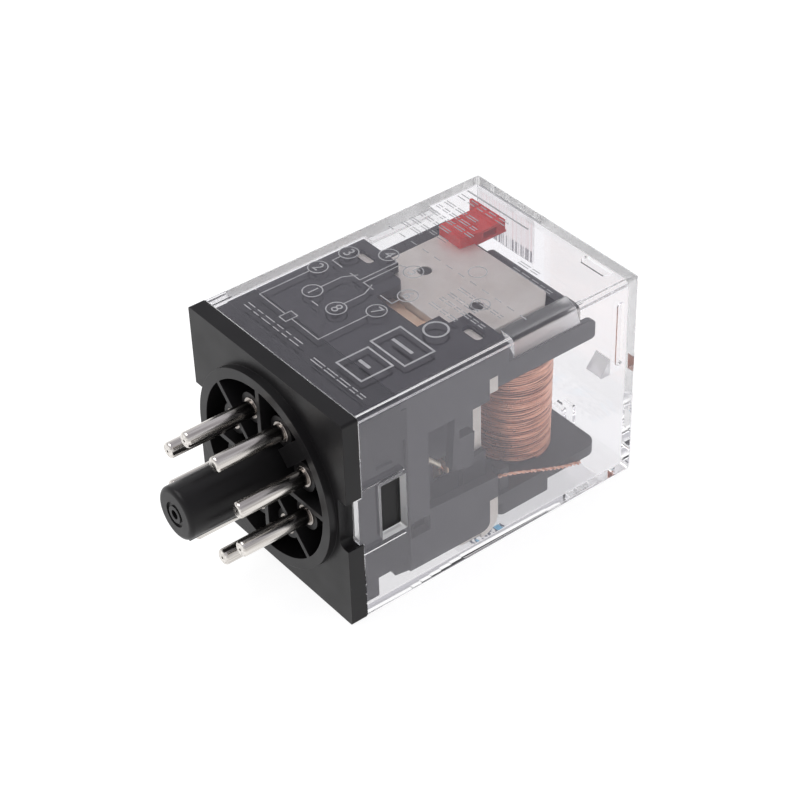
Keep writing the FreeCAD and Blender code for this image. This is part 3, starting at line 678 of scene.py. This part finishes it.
def make_top_print():
    """Wiring diagram with numbered pins, and plain bars where a maker prints words."""
    z = TOP + 0.004
    pins = {"1": (-9.1, 15.0), "2": (-13.2, 19.0), "3": (-13.2, 24.4), "4": (-9.1, 28.3),
            "5": (-3.6, 28.3), "6": (0.3, 24.2), "7": (0.3, 18.8), "8": (-3.7, 15.0)}
    forms = []
    for figure, (x, y) in pins.items():
        forms.append(ribbon(circle(x, y, 1.42), THIN, z, INK, closed=True))
        forms.append(numeral(figure, x, y, 2.5, z, INK))
    lines = [[(-13.2, 17.6), (-13.2, 9.05), (-7.2, 9.0)], [(-5.7, 8.97), (0.35, 8.9), (0.35, 17.4)],
             [(-7.2, 8.0), (-5.7, 8.0), (-5.7, 10.0), (-7.2, 10.0), (-7.2, 7.95)],
             [(-13.2, 22.9), (-13.2, 21.55), (-10.9, 21.5)], [(0.3, 22.7), (0.3, 21.4), (-2.2, 21.4)],
             [(-9.1, 21.5), (-6.9, 21.5), (-6.9, 27.9), (-7.7, 28.3)],
             [(-3.9, 21.5), (-6.1, 21.5), (-6.1, 27.9), (-5.0, 28.3)],
             [(-9.1, 16.5), (-9.1, 20.0), (-8.0, 22.1)], [(-3.9, 16.5), (-3.9, 20.0), (-4.9, 22.1)],
             [(-7.2, 13.5), (-5.8, 13.5)]]
    forms += [ribbon(line, THIN, z, INK) for line in lines]
    dash = 1.35
    dash_starts = [-15.0 + 2.6 * i for i in range(12)]
    forms += [ribbon([(x, 32.8), (x + dash, 32.8)], THIN, z, INK) for x in dash_starts]
    words = [(-12.6, 6.4, 13.0, 1.3), (3.2, 5.8, 11.2, 0.95), (-14.5, 45.6, 10.4, 1.3),
             (-14.5, 43.0, 7.4, 0.85), (-14.5, 41.5, 8.6, 0.85), (-14.5, 40.0, 9.8, 0.85),
             (-14.5, 38.3, 7.6, 0.85), (-14.5, 36.5, 8.2, 0.85), (-14.5, 35.0, 5.0, 0.85),
             (4.0, 41.0, 5.0, 0.85), (4.5, 39.3, 8.5, 0.85), (3.5, 30.6, 9.0, 0.85),
             (3.5, 28.8, 6.4, 0.85), (3.5, 27.3, 9.2, 0.85), (3.5, 25.5, 5.6, 0.85)]
    chance = random.Random(4)
    for x, y, length, height in words:
        forms += word_bars(x, y, length, height, z, chance)
    for y in (47.2, 49.6):
        forms.append(ribbon([(-14.6, y), (-1.2, y)], BOLD, z, INK))
    for x0, y0, x1, y1 in ((5.2, 14.0, 12.4, 19.0), (6.0, 7.7, 11.3, 12.9)):
        corners = [(x0, y0), (x1, y0), (x1, y1), (x0, y1)]
        forms.append(ribbon(corners, BOLD, z, INK, closed=True))
        forms.append(ribbon([(x0 + 1.5, (y0 + y1) / 2), (x1 - 1.5, (y0 + y1) / 2)], 0.5, z, INK))
    forms.append(ribbon(circle(8.8, 22.2, 1.7), BOLD, z, INK, closed=True))
    forms.append(ribbon(circle(2.2, 35.0, 1.3), THIN, z, INK, closed=True))
    forms.append(ribbon(circle(8.3, 30.4, 1.3), THIN, z, INK, closed=True))
    mesh = mesh_from("top_print", forms)
    add_piece("top_print", mesh, LOOKS["ink"], smooth=False)


def word_bars(x, y, length, height, z, chance):
    """A line of plain bars of uneven length, in place of words."""
    bars = []
    end = x + length
    while x < end - 0.6:
        bar = min(chance.uniform(0.5, 1.9) * height * 1.5, end - x)
        for level in (y - 0.28 * height, y + 0.28 * height):
            bars.append(ribbon([(x, level), (x + bar, level)], THIN, z, INK))
        x += bar + 0.45 * height
    return bars


def make_label(name, node, thickness, axis, material):
    """A thin film that sits just inside its recess in the cover."""
    low, high = box_mm(node)
    inset = 0.1
    outward = 1 if low[axis] > 0 else -1
    face = high[axis] if outward > 0 else low[axis]
    levels = sorted((face - outward * 0.01, face - outward * (0.01 + thickness)))
    u, v = [i for i in range(3) if i != axis]
    middle = (low + high) / 2
    half = (high - low) / 2
    steps = 96
    radius = 0.6

    def build(work):
        rings = []
        for level in levels:
            ring = []
            for i in range(steps):
                a, b = stadium_point(i / steps, half[u] - inset, half[v] - inset, radius)
                spot = Vector((0, 0, 0))
                spot[axis] = level
                spot[u] = middle[u] + a
                spot[v] = middle[v] + b
                ring.append(work.verts.new(spot * MM))
            rings.append(ring)
        close_rings(work, rings)
    label = add_piece(name, mesh_from(name, [build]), material, smooth=False)
    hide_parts(node)


# ---------------------------------------------------------------- everything
LOOKS = {
    "base": moulded_plastic("black_base", (0.008, 0.0075, 0.008), (0.011, 0.0105, 0.011), 0.34, specular=0.2),
    "frame": moulded_plastic("black_frame", (0.018, 0.016, 0.021), (0.026, 0.024, 0.031), 0.42),
    "bobbin": moulded_plastic("black_bobbin", (0.018, 0.016, 0.021), (0.028, 0.026, 0.033), 0.46),
    "card": moulded_plastic("dark_card", (0.030, 0.026, 0.025), (0.044, 0.038, 0.036), 0.5),
    "clear": clear_plastic(),
    "nickel": plated_pin(),
    "steel": metal("zinc_plated_iron", (0.86, 0.80, 0.74), (0.97, 0.92, 0.87), 0.52, metallic=0.6),
    "copper": wire_enamel(),
    # darker copy of the coil's copper: painted shade for the winding under the outer turns
    "shaded_copper": metal("copper_painted_shade", (0.26, 0.08, 0.04), (0.36, 0.12, 0.065), 0.5, (1, 1, 6)),
    "bronze": metal("spring_bronze", (1.0, 0.66, 0.46), (1.0, 0.77, 0.58), 0.55, (1, 0.1, 1), metallic=0.35),
    # lighter copy of the coil's copper, a painted highlight for one strand of each coil lead
    "strand": metal("copper_strand_painted_highlight", (0.90, 0.50, 0.38), (1.0, 0.68, 0.55), 0.34, metallic=0.75),
    "brass": metal("terminal_brass", (0.55, 0.42, 0.22), (0.70, 0.56, 0.32), 0.32),
    "silver": metal("contact_silver", (0.78, 0.77, 0.75), (0.88, 0.87, 0.85), 0.28),
    "tinned": metal("tinned_copper", (0.62, 0.54, 0.44), (0.76, 0.70, 0.60), 0.38),
    "red": red_plastic(),
    "ink": print_ink(),
    "bars": bar_print(),
    "blocks": block_print(),
}

NODE_LOOKS = {
    "base": "base", "cover": "clear", "contact_frame": "frame", "bobbin": "bobbin", "actuator_card": "card",
    "contact_pin": "nickel", "yoke": "steel", "core": "steel", "armature": "steel", "hinge_spring": "bronze",
    "indicator_flag": "red", "coil_winding": "copper", "coil_lead": "copper", "coil_strap": "brass",
    "flexible_lead": "tinned", "moving_blade": "bronze", "moving_contact": "silver", "blade_clip": "brass",
    "open_terminal": "brass", "closed_terminal": "brass", "open_contact": "silver",
    "closed_contact": "silver", "end_label": "bars", "bottom_label": "blocks",
}


def paint_cad():
    for name, node in cad.items():
        key = name if name in NODE_LOOKS else name.rsplit("_", 1)[0]
        for spot in node.material_slots:
            spot.material = LOOKS[NODE_LOOKS[key]]


make_camera()
make_world()
make_floor()
make_lamp("overhead", (-0.25, -0.15, 0.65), 0.5, 2.6)
paint_cad()
make_coil()
make_leads()
make_hinge_spring()
make_top_print()
make_label("bar_label_film", "end_label", 0.06, 1, LOOKS["bars"])
make_label("block_label_film", "bottom_label", 0.06, 2, LOOKS["blocks"])
